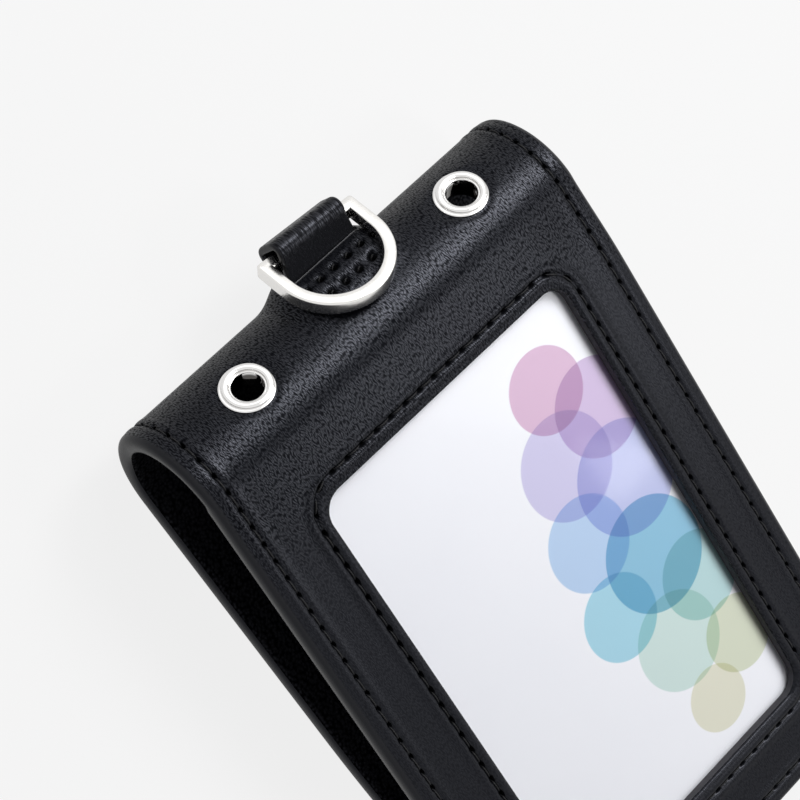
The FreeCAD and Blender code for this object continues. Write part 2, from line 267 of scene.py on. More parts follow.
def new_piece(name, points, faces, material, body=None, stands_for=(), slot=None, marks=None):
    """A smooth mesh piece from points in the row frame, riding on a body."""
    mesh = bpy.data.meshes.new(name)
    points = np.asarray(points, float).reshape(-1, 3)
    mesh.from_pydata(points.tolist(), [], [tuple(f) for f in np.asarray(faces).tolist()])
    for mark, values in (marks or {}).items():
        values = np.asarray(values, np.float32)
        kind, field = ("FLOAT_VECTOR", "vector") if values.ndim == 2 else ("FLOAT", "value")
        mesh.attributes.new(mark, kind, "POINT").data.foreach_set(field, values.ravel())
    mesh.polygons.foreach_set("use_smooth", [True] * len(mesh.polygons))
    mesh.materials.append(material)
    piece = add_object(name, mesh)
    if body:
        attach(piece, body)
    if stands_for:
        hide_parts(*stands_for)
    return piece


def grid_faces(rows, columns, closed=False):
    """Quads of a grid of points, with the last column joined to the first if it is closed."""
    index = np.arange(rows * columns).reshape(rows, columns)
    after = np.roll(index, -1, axis=1) if closed else index[:, 1:]
    index = index if closed else index[:, :-1]
    return np.stack([index[:-1], after[:-1], after[1:], index[1:]], -1).reshape(-1, 4)


def lines(*spans):
    """Rising values: each span is (from, to, spacing)."""
    values = [np.linspace(a, b, max(2, int(math.ceil((b - a) / step)) + 1))[:-1] for a, b, step in spans]
    return np.concatenate(values + [np.array([spans[-1][1]])])


def tube(path, radii, sides, across, out):
    """A round thread along rows of points, with the directions across and out of the leather."""
    turn = np.arange(sides) * 2.0 * math.pi / sides
    ring = np.cos(turn)[None, :, None] * across[:, None, :] + np.sin(turn)[None, :, None] * out[:, None, :]
    return path[:, None, :] + ring * radii[:, None, None]


# Leather: its relief and its painted edge

def window_distance(u, v, half, top, foot, corner):
    """Distance outside a rounded rectangle round the window's middle."""
    x = np.abs(u - WINDOW_X) - (half - corner)
    y = np.abs(v - (top + foot) / 2.0) - ((top - foot) / 2.0 - corner)
    outside = np.hypot(np.maximum(x, 0.0), np.maximum(y, 0.0))
    return outside + np.minimum(np.maximum(x, y), 0.0) - corner


def to_nearest(x, first, pitch):
    """Signed distance to the nearest of evenly spaced places."""
    return x - first - np.round((x - first) / pitch) * pitch


def seam_relief(off, along):
    """A sewn line: a narrow groove, leather puffed up beside it, and a pit at each needle hole."""
    puff = SEAM_PUFF * bell(np.abs(off) - 0.9, 0.55)
    return puff - SEAM_GROOVE * bell(off, 0.26) - HOLE_DEPTH * needle_hole(off, along)


def needle_hole(off, along):
    return np.exp(-((off / 0.27) ** 2 + (along / 0.46) ** 2) ** 1.5)


def edge_seam(u, v, inset, at_foot):
    """Relief of the seam round the panels, and how far each point is in a needle hole."""
    first = np.where(u < 0.0, LEFT_HOLE, RIGHT_HOLE)
    along = np.where(at_foot, to_nearest(u, 0.0, EDGE_PITCH), to_nearest(v, first, EDGE_PITCH))
    off = inset - EDGE_SEAM
    return seam_relief(off, along), needle_hole(off, along)


def window_seam(u, v):
    """Relief of the seam round the window and of the puffed rim inside it, and its needle holes."""
    off = window_distance(u, v, WINDOW_SEAM_HALF, WINDOW_SEAM_TOP, WINDOW_SEAM_FOOT, WINDOW_SEAM_CORNER)
    past_side = np.abs(u - WINDOW_X) - WINDOW_SEAM_HALF
    middle, half = (WINDOW_SEAM_TOP + WINDOW_SEAM_FOOT) / 2.0, (WINDOW_SEAM_TOP - WINDOW_SEAM_FOOT) / 2.0
    past_end = np.abs(v - middle) - half
    along = np.where(past_side > past_end, to_nearest(v, WINDOW_SIDE_HOLE, WINDOW_PITCH),
                     to_nearest(u, WINDOW_X, WINDOW_PITCH))
    cut = window_distance(u, v, WINDOW_HALF, WINDOW_TOP, WINDOW_FOOT, WINDOW_CORNER)
    rim = RIM_PUFF * smooth(0.0, -0.5, off) * smooth(-0.2, 0.5, cut)
    over = np.clip(1.0 - cut / RIM_ROUND, 0.0, 1.0)
    relief = 1.25 * seam_relief(off, along) + rim - RIM_DROP * (1.0 - np.sqrt(1.0 - over ** 2))
    near = off < SEAM_REACH
    return np.where(near, relief, 0.0), np.where(near, needle_hole(off, along), 0.0)


def eyelet_relief(u, v):
    """Leather pressed flat under each eyelet."""
    total = np.zeros_like(u)
    for angle in (EYELET_ANGLE, EYELET_BACK):
        for side in (-1.0, 1.0):
            along = v - FOLD_RADIUS * angle
            r = np.hypot(u - side * EYELET_X, along)
            plane = SEAT_HEIGHT / np.cos(np.clip(along / FOLD_RADIUS, -0.7, 0.7)) - FOLD_RADIUS
            total = total + np.minimum(plane, 0.05) * smooth(6.4, 3.8, r) - EYELET_DENT * bell(r - 4.05, 0.45)
    return total


def tail_holes():
    """Needle holes of the two rows that hold the strap's tail."""
    return [[(first + k * TAIL_PITCH, v) for k in range(-1, 5)] for v, first in zip(TAIL_ROWS, TAIL_HOLES)]


def tail_stitches():
    """Threads of the strap's tail: one stitch in each hole."""
    across, along = TAIL_STITCH
    return [(u - across, v - along, u + across, v + along) for row in tail_holes() for u, v in row]


def strap_rise(u, v):
    """How far the leather lifts towards the two lips of the slit."""
    off = np.abs(u - STRAP_X) - STRAP_HALF
    ahead = smooth(SLIT_FRONT - 8.0, SLIT_FRONT + 0.8, v) * smooth(SLIT_BACK + 6.0, SLIT_BACK + 0.3, v)
    return SLIT_RISE * ahead * smooth(4.2, -0.4, off)


def strap_relief(u, v):
    """Leather that rises to the slit, the slit, and the dents of the sewn tail; and its needle holes."""
    off = np.abs(u - STRAP_X) - STRAP_HALF
    open_slit = (smooth(-0.05, 0.1, v - SLIT_FRONT) * smooth(0.05, -0.1, v - SLIT_BACK)
                 * smooth(0.35, 0.15, off))
    groove = np.zeros_like(u)
    for u0, v0, u1, v1 in tail_stitches():
        du, dv = u1 - u0, v1 - v0
        t = np.clip(((u - u0) * du + (v - v0) * dv) / (du * du + dv * dv), 0.0, 1.0)
        groove = np.minimum(groove, -0.06 * bell(np.hypot(u - u0 - t * du, v - v0 - t * dv), 0.3))
    hole = np.zeros_like(u)
    for hole_u, hole_v in sum(tail_holes(), []):
        hole = np.maximum(hole, np.exp(-(((u - hole_u) / 0.66) ** 2 + ((v - hole_v) / 0.5) ** 2) ** 1.5))
    pillow = 0.22 * smooth(0.3, -1.0, off) * (bell(v - 12.85, 0.9) + 0.6 * bell(v - 10.6, 0.9))
    relief = strap_rise(u, v) - (SLIT_RISE + 1.6) * open_slit + groove + pillow
    return relief - HOLE_DEPTH * hole, hole


def edge_curve(step, thickness):
    """How far out and how high the painted edge is, at a step round it from the leather's face."""
    middle = thickness * EDGE_MIDDLE
    upper = np.clip(step / TOP_STEPS, 0.0, 1.0) * math.pi / 2.0
    lower = np.clip((step - TOP_STEPS) / FOOT_STEPS, 0.0, 1.0) * math.pi / 2.0
    out = EDGE_TOP * np.sin(upper) - EDGE_FOOT * (1.0 - np.cos(lower))
    height = -middle * (1.0 - np.cos(upper)) - (thickness - middle) * np.sin(lower)
    return out, height


def panel_grid(across, along, foot):
    """Lays extended grid lines on the strip: past the face they run round the painted edge.

    Returns u, v, inset from the outline, steps past the face, height there, and whether it is at the foot.
    """
    gu, gv = np.meshgrid(across, along)
    centre_u = HALF_WIDTH - CORNER
    down = 0.0 if foot is None else math.copysign(1.0, foot)
    centre_v = 0.0 if foot is None else foot - down * CORNER
    a = np.abs(gu) - centre_u
    b = np.full_like(gv, -1.0) if foot is None else down * (gv - centre_v)
    reach = CORNER - EDGE_TOP
    big = np.maximum(a, b)
    step = np.maximum(big - reach, 0.0)
    out, height = edge_curve(step, edge_thickness(gv))
    radial = np.where(step > 0.0, reach + out, big)
    both = (a > 0.0) & (b > 0.0)
    safe_a, safe_b = np.where(both, a, 1.0), np.where(both, b, 1.0)
    angle = np.where(safe_a >= safe_b, safe_b / safe_a, 2.0 - safe_a / safe_b) * math.pi / 4.0
    side = np.sign(gu)
    u = np.where(a > 0.0, side * (centre_u + radial), gu)
    u = np.where(both, side * (centre_u + radial * np.cos(angle)), u)
    v = np.where(b > 0.0, centre_v + down * radial, gv)
    v = np.where(both, centre_v + down * radial * np.sin(angle), v)
    return u, v, CORNER - radial, step, height, (b > a) & (b > 0.0)


def edge_thickness(v):
    """Thickness of the painted edge: the front is thicker below the pocket's mouth."""
    return FOLD_THICKNESS + (FRONT_THICKNESS - FOLD_THICKNESS) * smooth(1.7, 0.1, v)


def edge_lines():
    """Grid lines across the strip, past its face on both sides."""
    face = HALF_WIDTH - EDGE_TOP
    by_seam = HALF_WIDTH - EDGE_SEAM - 1.6

    def half(rim):
        return lines((rim - 0.3, rim + 3.1, 0.13), (rim + 3.1, by_seam, 0.45), (by_seam, face, 0.13))

    right, left = half(WINDOW_HALF + WINDOW_X), -half(WINDOW_HALF - WINDOW_X)[::-1]
    middle = lines((left[-1], right[0], 0.26))[1:-1]
    return np.concatenate([-(face + past_face()[::-1]), left, middle, right, face + past_face()])


def past_face():
    """Steps of the grid round the painted edge."""
    return np.arange(1, TOP_STEPS + FOOT_STEPS + 1) * 1.0


def leather(name, along, foot, material, body, node, window=False):
    """One piece of the outer leather with its painted edge, cut out at the window and the eyelets."""
    u, v, inset, step, height, at_foot = panel_grid(edge_lines(), along, foot)
    relief, pit = edge_seam(u, v, inset, at_foot)
    lifted, tail_pit = strap_relief(u, v)
    relief, pit = relief + eyelet_relief(u, v) + lifted, np.maximum(pit, tail_pit)
    if window:
        window_lift, window_pit = window_seam(u, v)
        relief, pit = relief + window_lift, np.maximum(pit, window_pit)
    fade = smooth(EDGE_TOP - 1.1, EDGE_TOP + 0.5, inset)
    h = height + relief * fade
    faces = grid_faces(*u.shape)
    u, v, h, step, pit = (values.ravel() for values in (u, v, h, step, pit))
    eyelets = np.minimum.reduce([np.hypot(np.abs(u) - EYELET_X, v - FOLD_RADIUS * angle)
                                 for angle in (EYELET_ANGLE, EYELET_BACK)])
    faces = faces[(eyelets[faces] > EYELET_CUT).all(1)]
    cut = np.zeros_like(u)
    if window:
        u, v, h, step, cut, faces = cut_window(u, v, h, step, faces)
        pit = np.concatenate([pit, np.zeros(len(u) - len(pit))])
    paint = smooth(0.6, 2.6, step)
    ends = TOP_STEPS + FOOT_STEPS
    # lip paints a light grey line round the painted edge's inner rim: a painted highlight
    lip = 0.3 * smooth(TOP_STEPS + 0.2, TOP_STEPS + 1.8, step) * smooth(ends - 0.5, ends - 3.0, step)
    # the slit's front lip gets the same light line: partly the lighter cut fibres, partly a painted highlight
    by_strap = smooth(0.3, 0.0, np.abs(u - STRAP_X) - STRAP_HALF)
    lip = np.maximum(lip, bell(v - SLIT_FRONT + 0.12, 0.14) * by_strap)
    # pit marks the needle holes, which the material paints dark as shade
    marks = {"paint": paint, "cut": cut, "pit": pit, "lip": lip}
    return leather_piece(name, (u, v, h), faces, marks, material, body, (node,), "cover_leather")


def leather_piece(name, places, faces, marks, *settings):
    """A piece from the places on the strip that its faces use, with their marks."""
    used, renumbered = np.unique(faces, return_inverse=True)
    marks = {"strip": np.stack(places, -1), **marks}
    marks = {key: values[used] for key, values in marks.items()}
    return new_piece(name, to_row(strip(*places))[used], renumbered.reshape(-1, 4), *settings, marks)


def cut_window(u, v, h, step, faces):
    """Removes the window, brings the rim to its outline and adds the cut edge's wall."""
    def outside(x, y):
        return window_distance(x, y, WINDOW_HALF, WINDOW_TOP, WINDOW_FOOT, WINDOW_CORNER)

    away = outside(u, v)
    faces = faces[(away[faces] > 1e-6).any(1)]
    tiny = 1e-4
    inside = (away <= 1e-6) & (away > -2.0)
    slope_u = (outside(u + tiny, v) - outside(u - tiny, v)) / (2.0 * tiny)
    slope_v = (outside(u, v + tiny) - outside(u, v - tiny)) / (2.0 * tiny)
    u = np.where(inside, u - away * slope_u, u)
    v = np.where(inside, v - away * slope_v, v)
    h = np.where(inside, -RIM_DROP, h)
    edges = np.concatenate([faces[:, [k, (k + 1) % 4]] for k in range(4)])
    _, first, count = np.unique(np.sort(edges, 1), axis=0, return_index=True, return_counts=True)
    rim = edges[first[count == 1]]
    rim = rim[inside[rim].all(1)]
    around, places = np.unique(rim, return_inverse=True)
    places = places.reshape(-1, 2)
    depths = [-RIM_DROP, -0.5, -0.9, -1.3, -COVER + 0.02]
    size, ring = len(u), len(around)
    wall = []
    for level in range(len(depths) - 1):
        a, b = places[:, 0] + level * ring, places[:, 1] + level * ring
        wall.append(np.stack([b, a, a + ring, b + ring], -1) + size)
    u = np.concatenate([u] + [u[around]] * len(depths))
    v = np.concatenate([v] + [v[around]] * len(depths))
    h = np.concatenate([h] + [np.full(ring, depth) for depth in depths])
    cut = np.concatenate([np.zeros(size)] + [np.ones(ring)] * len(depths))
    step = np.concatenate([step, np.zeros(ring * len(depths))])
    return u, v, h, step, cut, np.concatenate([faces] + wall)


def make_covers(material):
    """Front, spine and back of the outer leather, which meet where the fold starts to bend."""
    foot = -FRONT_LENGTH + EDGE_TOP
    rows = np.concatenate([foot - past_face()[::-1], lines(
        (foot, foot + 3.6, FINE), (foot + 3.6, WINDOW_FOOT - 3.0, 0.3),
        (WINDOW_FOOT - 3.0, WINDOW_FOOT + 0.3, FINE), (WINDOW_FOOT + 0.3, WINDOW_TOP - 0.3, 0.3),
        (WINDOW_TOP - 0.3, WINDOW_TOP + 3.4, FINE), (WINDOW_TOP + 3.4, SPINE_START, 0.24))])
    leather("front_cover_leather", rows, -FRONT_LENGTH, material, "front", "front_cover", window=True)
    rows = lines((SPINE_START, SLIT_FRONT - 0.5, 0.2), (SLIT_FRONT - 0.5, SLIT_FRONT + 0.5, 0.07),
                 (SLIT_FRONT + 0.5, SLIT_BACK - 0.5, 0.2), (SLIT_BACK - 0.5, SLIT_BACK + 0.5, 0.07),
                 (SLIT_BACK + 0.5, SPINE_END, 0.2))
    bend_with_spine(leather("spine_cover_leather", rows, None, material, None, "spine_cover"))
    end = TIP - EDGE_TOP
    rows = lines((SPINE_END, FOLD_ROWS_END, 0.25), (FOLD_ROWS_END, end - 3.6, 0.4), (end - 3.6, end, FINE))
    rows = np.concatenate([rows, end + past_face()])
    leather("back_cover_leather", rows, TIP, material, "back", "back_cover")


def bend_with_spine(piece):
    start, end = (to_row(strip(0.0, v, -1.4)) for v in (SPINE_START, SPINE_END))
    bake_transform(piece)


# Linings

def lining(name, along, depth, foot, material, body, node, holes=True):
    """A sheet of inner leather with a rolled edge that comes out from under the painted one."""
    inner = HALF_WIDTH - LINING_INSET
    across = lines((-inner, -inner + 2.0, 0.2), (-inner + 2.0, inner - 2.0, 0.5), (inner - 2.0, inner, 0.2))
    gu, gv = np.meshgrid(across, along)
    inset = HALF_WIDTH - np.abs(gu)
    if foot is not None:
        inset = np.minimum(inset, np.abs(foot - gv))
    roll = 0.35 * (1.0 - smooth(0.3, 1.1, inset))
    h = -depth + roll + 0.12 * bell(inset - EDGE_SEAM, 0.35)
    faces = grid_faces(*gu.shape)[:, ::-1]
    u, v, h = gu.ravel(), gv.ravel(), h.ravel()
    keep = np.ones(len(faces), bool)
    if holes:
        for angle in (EYELET_ANGLE, EYELET_BACK):
            along_fold = (v - FOLD_RADIUS * angle) * (FOLD_RADIUS - depth) / FOLD_RADIUS
            r = np.hypot(np.abs(u) - EYELET_X, along_fold)
            keep &= (r[faces] > LINING_CUT).any(1)
            turn = np.clip(v / FOLD_RADIUS - angle, -0.6, 0.6)
            flat = (FOLD_RADIUS - depth - 0.4) / np.cos(turn) - FOLD_RADIUS
            h = np.where(r < 5.5, h + (flat - h) * smooth(5.5, 3.7, r), h)
    if foot is not None:
        corner_u = np.abs(u) - (HALF_WIDTH - CORNER)
        corner_v = CORNER - np.abs(foot - v)
        outside = (corner_u > 0.0) & (corner_v > 0.0) & (np.hypot(corner_u, corner_v) > CORNER - 0.4)
        keep &= ~outside[faces].any(1)
    marks = {"paint": np.zeros_like(u), "cut": np.zeros_like(u)}
    piece = leather_piece(name, (u, v, h), faces[keep], marks, material, body, (node,), "lining_leather")
    thick = piece.modifiers.new("thickness", "SOLIDIFY")
    thick.thickness = LINING_THICKNESS * MM
    thick.offset = -1.0
    return piece


def make_linings(material):
    thick, foot = FOLD_THICKNESS, -FRONT_LENGTH
    rows = lines((FOLD_RADIUS * math.radians(8.0), SPINE_START, 0.4))
    lining("shoulder_lining_leather", rows, thick, None, material, "front", "shoulder_lining")
    rows = lines((SPINE_START, SPINE_END, 0.4))
    bend_with_spine(lining("spine_lining_leather", rows, thick, None, material, None, "spine_lining"))
    rows = lines((SPINE_END, FOLD_ROWS_END, 0.4), (FOLD_ROWS_END, TIP - 0.4, 0.5))
    lining("back_lining_leather", rows, thick, TIP, material, "back", "back_lining")
    rows = lines((foot + 0.4, MOUTH, 0.5))
    lining("pocket_lining_leather", rows, FRONT_THICKNESS, foot, material, "front", "pocket_lining",
           holes=False)


# Threads

def thread_mesh(name, stitches, material, rise=None):
    """Sewn threads: each runs from one needle hole to the next, highest in its middle."""
    sides, rings = 8, 9
    t = np.linspace(0.0, 1.0, rings)
    arch = np.sin(math.pi * t)
    radii = THREAD * (0.45 + 0.55 * np.sqrt(arch))
    points, faces = [], []
    for u0, v0, u1, v1 in stitches:
        u, v = u0 + (u1 - u0) * t, v0 + (v1 - v0) * t
        ground = rise(u, v) if rise else 0.0
        path = strip(u, v, ground - THREAD_SINK + THREAD_ARCH * np.sqrt(arch))
        out = strip(u, v, 1.0) - strip(u, v, 0.0)
        ahead = np.gradient(path, axis=0)
        across = np.cross(ahead, out)
        across = across / np.linalg.norm(across, axis=1)[:, None]
        faces.append(grid_faces(rings, sides, closed=True) + len(points) * rings * sides)
        points.append(tube(path, radii, sides, across, out))
    points, faces = np.concatenate(points), np.concatenate(faces)
    return new_piece(name, to_row(points), faces, material, slot="cover_leather")


def run_along(path):
    """Length along a path up to each of its points."""
    return np.concatenate([[0.0], np.cumsum(np.linalg.norm(np.diff(path, axis=0), axis=1))])


def along_path(path, first, pitch):
    """Stitches along a dense path of u and v, from hole to hole."""
    length = run_along(path)
    starts = np.arange(first, length[-1] - pitch + 1e-6, pitch)

    def place(s):
        return np.interp(s, length, path[:, 0]), np.interp(s, length, path[:, 1])

    return [(*place(s + STITCH_GAP), *place(s + pitch - STITCH_GAP)) for s in starts]


def arc_path(centre, radius, start, end, count=24):
    turn = np.radians(np.linspace(start, end, count))
    return np.stack([centre[0] + radius * np.cos(turn), centre[1] + radius * np.sin(turn)], -1)


def side_stitches(first, side, low, high):
    """Stitches down one side of the strip between two places."""
    k = np.arange(math.ceil((low - first) / EDGE_PITCH), math.floor((high - first) / EDGE_PITCH))
    u = side * (HALF_WIDTH - EDGE_SEAM)
    return [(u, first + i * EDGE_PITCH + STITCH_GAP, u, first + (i + 1) * EDGE_PITCH - STITCH_GAP) for i in k]


def foot_stitches(foot):
    """Stitches round a panel's foot and its two corners."""
    down = 1.0 if foot > 0.0 else -1.0
    seam_u, seam_v = HALF_WIDTH - EDGE_SEAM, foot - down * EDGE_SEAM
    radius = CORNER - EDGE_SEAM
    count = int((seam_u - radius) / EDGE_PITCH)
    level = [(k * EDGE_PITCH + STITCH_GAP, seam_v, (k + 1) * EDGE_PITCH - STITCH_GAP, seam_v)
             for k in range(-count, count)]
    for side in (-1.0, 1.0):
        centre = (side * (seam_u - radius), seam_v - down * radius)
        turn = arc_path((0.0, 0.0), radius, 0.0, 90.0) * np.array([side, down]) + np.array(centre)
        level += along_path(turn, 0.2, EDGE_PITCH)
    return level


def window_stitches():
    """Stitches round the window."""
    corner = WINDOW_SEAM_CORNER
    left, right = WINDOW_X - WINDOW_SEAM_HALF, WINDOW_X + WINDOW_SEAM_HALF
    top, foot, side = WINDOW_SEAM_TOP, WINDOW_SEAM_FOOT, WINDOW_SIDE_HOLE
    rows = []
    for u in (left, right):
        count = int((side - foot - corner) / WINDOW_PITCH)
        rows += [(u, side - k * WINDOW_PITCH - STITCH_GAP, u, side - (k + 1) * WINDOW_PITCH + STITCH_GAP)
                 for k in range(count)]
    for v in (top, foot):
        count = int((WINDOW_SEAM_HALF - corner) / WINDOW_PITCH)
        rows += [(WINDOW_X + k * WINDOW_PITCH + STITCH_GAP, v,
                  WINDOW_X + (k + 1) * WINDOW_PITCH - STITCH_GAP, v) for k in range(-count, count)]
    for u, v, start in ((right - corner, top - corner, 0.0), (left + corner, top - corner, 90.0),
                        (left + corner, foot + corner, 180.0), (right - corner, foot + corner, 270.0)):
        rows += along_path(arc_path((u, v), corner, start, start + 90.0), 0.6, WINDOW_PITCH)
    return rows


def tail_ground(u, v):
    return strap_rise(u, v) + TAIL_LIFT


def make_threads(material):
    front, spine, back = [], [], []
    for side, first in ((-1.0, LEFT_HOLE), (1.0, RIGHT_HOLE)):
        for stitch in side_stitches(first, side, -FRONT_LENGTH + CORNER, TIP - CORNER):
            middle = (stitch[1] + stitch[3]) / 2.0
            group = front if middle < SPINE_START else spine if middle < SPINE_END else back
            group.append(stitch)
    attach(thread_mesh("edge_threads_front", front + foot_stitches(-FRONT_LENGTH), material), "front")
    bend_with_spine(thread_mesh("edge_threads_spine", spine, material))
    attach(thread_mesh("edge_threads_back", back + foot_stitches(TIP), material), "back")
    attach(thread_mesh("window_threads", window_stitches(), material), "front")
    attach(thread_mesh("strap_threads", tail_stitches(), material, rise=tail_ground), "front")


# Metal

def lathe(name, profile, place, material, body, node, slot):
    """A turned piece from (radius, height, shift across) points, marked where it is deep inside, where the
    metal gets painted shade.
    """
    segments = 72
    turn = np.arange(segments) * 2.0 * math.pi / segments
    r, z, shift = np.array(profile).T
    local = np.stack([r[:, None] * np.cos(turn) + shift[:, None], r[:, None] * np.sin(turn),
                      np.repeat(z[:, None], segments, 1)], -1)
    points = local.reshape(-1, 3) @ np.array(place.to_3x3()).T + np.array(place.translation)
    faces = grid_faces(len(profile), segments, closed=True)
    # deep marks the inside of the eyelet's barrel, which the metal paints dark as shade
    deep = np.repeat(smooth(SEAT_HEIGHT - 0.05, SEAT_HEIGHT - 0.5, z) * smooth(2.7, 2.5, r), segments)
    return new_piece(name, to_row(points), faces, material, body, (node,), slot, {"deep": deep})


def eyelet_profile(crown):
    """From the lip inside, up the barrel, over the throat's bead and the rolled crown, to the thin rim."""
    seat = SEAT_HEIGHT
    foot = FOLD_RADIUS - FOLD_THICKNESS - 0.8
    points = [(3.25, foot + 0.02), (3.1, foot - 0.22), (2.75, foot - 0.34), (2.5, foot - 0.2),
              (2.4, foot + 0.2)]
    points += [(2.4 - 0.025 * k, foot + 0.2 + (seat - foot - 0.7) * k / 6.0) for k in range(1, 7)]
    for k in range(13):
        turn = math.radians(180.0 - 13.0 * k)
        points.append((2.43 + 0.18 * math.cos(turn), seat - 0.02 + 0.22 * abs(math.sin(turn)) ** 0.6))
    points += [(2.6, seat + 0.1), (2.58, seat + 0.2)]
    for k in range(19):
        turn = math.radians(180.0 - 10.0 * k)
        points.append((3.05 + 0.5 * math.cos(turn), seat + crown - 0.3 + 0.3 * abs(math.sin(turn)) ** 0.55))
    points += [(3.56, seat + 0.2), (3.58, seat + 0.14), (3.62, seat + 0.12), (3.7, seat + 0.125),
               (3.79, seat + 0.1), (3.86, seat + 0.05), (EYELET_FLANGE, seat), (3.85, seat - 0.06),
               (3.74, seat - 0.1), (2.7, seat - 0.1)]
    shifts = [0.17 * smooth(seat - 1.2, seat - 0.2, z) * smooth(3.64, 3.56, r) for r, z in points]
    return [(r, z, shift) for (r, z), shift in zip(points, shifts)]


def make_eyelets(material):
    for panel, angle, crown in (("front", EYELET_ANGLE, FRONT_CROWN), ("back", EYELET_BACK, BACK_CROWN)):
        for side, x in (("left", -EYELET_X), ("right", EYELET_X)):
            sunk = slack(x, FOLD_RADIUS * angle, 0.0)
            place = Matrix.Translation((x, 0.0, -FOLD_RADIUS)) @ Matrix.Rotation(-angle, 4, "X")
            place = place @ Matrix.Translation((0.0, 0.0, -sunk))
            node = "eyelet_%s_%s" % (panel, side)
            lathe(node + "_rolled", eyelet_profile(crown), place, material, panel, node, "bright_nickel")


def rounded_section(width, height, corner, steps=4):
    """Points round a rectangle with round corners."""
    points = []
    for k, (sx, sy) in enumerate(((1, 1), (-1, 1), (-1, -1), (1, -1))):
        for i in range(steps + 1):
            turn = math.radians(90.0 * (k + i / steps))
            points.append((sx * (width / 2.0 - corner) + corner * math.cos(turn),
                           sy * (height / 2.0 - corner) + corner * math.sin(turn)))
    return np.array(points)


def ring_outlines():
    """Matching points of the ring's inner and outer outline: a half round, two legs and a straight bar."""
    inner, outer, half, corner = RING_HALF, RING_HALF + RING_WIDTH, RING_WIDTH / 2.0, RING_CORNER
    arc, leg, bend, line = (0.0, -RING_ARC), -RING_ARC + 0.8, half - corner, np.linspace
    pairs = (
        (arc_path(arc, inner, 180.0, 360.0, 61), arc_path(arc, outer, 180.0, 360.0, 61)),
        (line((inner, leg), (inner, -half - 0.2), 5), line((outer, leg), (outer, bend - 0.1), 5)),
        (np.tile((inner, -half), (7, 1)), arc_path((outer - corner, bend), corner, 0.0, 90.0, 7)),
        (line((inner - 0.2, -half), (-inner + 0.2, -half), 11),
         line((outer - corner - 0.1, half), (-outer + corner + 0.1, half), 11)),
        (np.tile((-inner, -half), (7, 1)), arc_path((-outer + corner, bend), corner, 90.0, 180.0, 7)),
        (line((-inner, -half - 0.2), (-inner, leg), 5), line((-outer, bend - 0.1), (-outer, leg), 5)),
    )
    return tuple(np.concatenate(side) for side in zip(*pairs))


def make_ring(material):
    inside, outside = ring_outlines()
    section = rounded_section(RING_WIDTH, RING_HEIGHT, RING_ROUND)
    share = section[:, 0] / RING_WIDTH + 0.5
    flat = inside[:, None, :] + (outside - inside)[:, None, :] * share[None, :, None]
    local = np.concatenate([flat, np.broadcast_to(section[None, :, 1, None], flat.shape[:2] + (1,))], -1)
    place = Matrix.Translation((STRAP_X, LOOP_Y, LOOP_Z)) @ Matrix.Rotation(-RING_TILT, 4, "X")
    points = askew(local.reshape(-1, 3) @ np.array(place.to_3x3()).T + np.array(place.translation))
    count, around = local.shape[:2]
    index = np.arange(count * around).reshape(count, around)
    after = np.roll(index, -1, axis=0)
    faces = np.stack([index, after, np.roll(after, -1, axis=1), np.roll(index, -1, axis=1)], -1)
    new_piece("d_ring_satin", to_row(points), faces.reshape(-1, 4), material, "ring", ("d_ring",),
              "satin_nickel")


# Strap

def strap_path():
    """The middle of the strap's leather in the YZ plane: out of the slit, over the bar and back in."""
    half = STRAP_THICKNESS / 2.0 + 0.05
    foot, pinch = FOLD_RADIUS - 3.0, FOLD_RADIUS + 1.4
    upper = arc_path((LOOP_Y + 1.9, 1.9), 0.9, 113.0, -15.0, 14)
    lower = arc_path((LOOP_Y + 1.0, -1.7), 0.9, -15.0, -115.0, 12)
    corners = np.array([(foot, half), (pinch, half), *upper, *lower, (pinch, -half), (foot, -half)])
    run = run_along(corners)
    even = np.linspace(0.0, run[-1], 130)
    path = np.stack([np.interp(even, run, corners[:, k]) for k in range(2)], -1)
    for _ in range(10):
        path[1:-1] = (path[:-2] + 2.0 * path[1:-1] + path[2:]) / 4.0
    return path + np.array([0.0, LOOP_Z])


def make_strap(material):
    path = strap_path()
    ahead = np.gradient(path, axis=0)
    ahead = ahead / np.linalg.norm(ahead, axis=1)[:, None]
    out = np.stack([-ahead[:, 1], ahead[:, 0]], -1)
    crown = rounded_section(2.0 * STRAP_HALF, STRAP_THICKNESS, 0.45, 5)
    span = np.linspace(-STRAP_HALF + 0.6, STRAP_HALF - 0.6, 24)
    top = np.stack([span[::-1], np.full_like(span, STRAP_THICKNESS / 2.0)], -1)
    foot = np.stack([span, np.full_like(span, -STRAP_THICKNESS / 2.0)], -1)
    section = np.concatenate([crown[:6], top, crown[6:18], foot, crown[18:]])
    length = run_along(path)
    outward = smooth(FOLD_RADIUS + 1.0, LOOP_Y + 1.5, path[:, 0])
    narrow = 1.0 - STRAP_TAPER * outward[:, None] * (section[:, 0] > 0.0)
    x = STRAP_X + narrow * section[None, :, 0]
    yz = path[:, None, :] + out[:, None, :] * section[None, :, 1, None]
    points = askew(np.concatenate([x[..., None], yz], -1))
    apart = 200.0   # keeps the strap's marks off the strip's own
    strip_mark = np.stack([x, np.broadcast_to(length[:, None], x.shape) + apart, np.zeros_like(x)], -1)
    paint = np.broadcast_to(smooth(0.3, 0.1, STRAP_HALF - np.abs(section[:, 0]))[None, :], x.shape).ravel()
    marks = {"strip": strip_mark.reshape(-1, 3), "paint": paint, "cut": np.zeros(len(paint))}
    faces = grid_faces(len(path), len(section), closed=True)
    new_piece("strap_loop_leather", to_row(points), faces, material, "front", ("strap_loop",),
              "strap_leather", marks)


# Card pocket

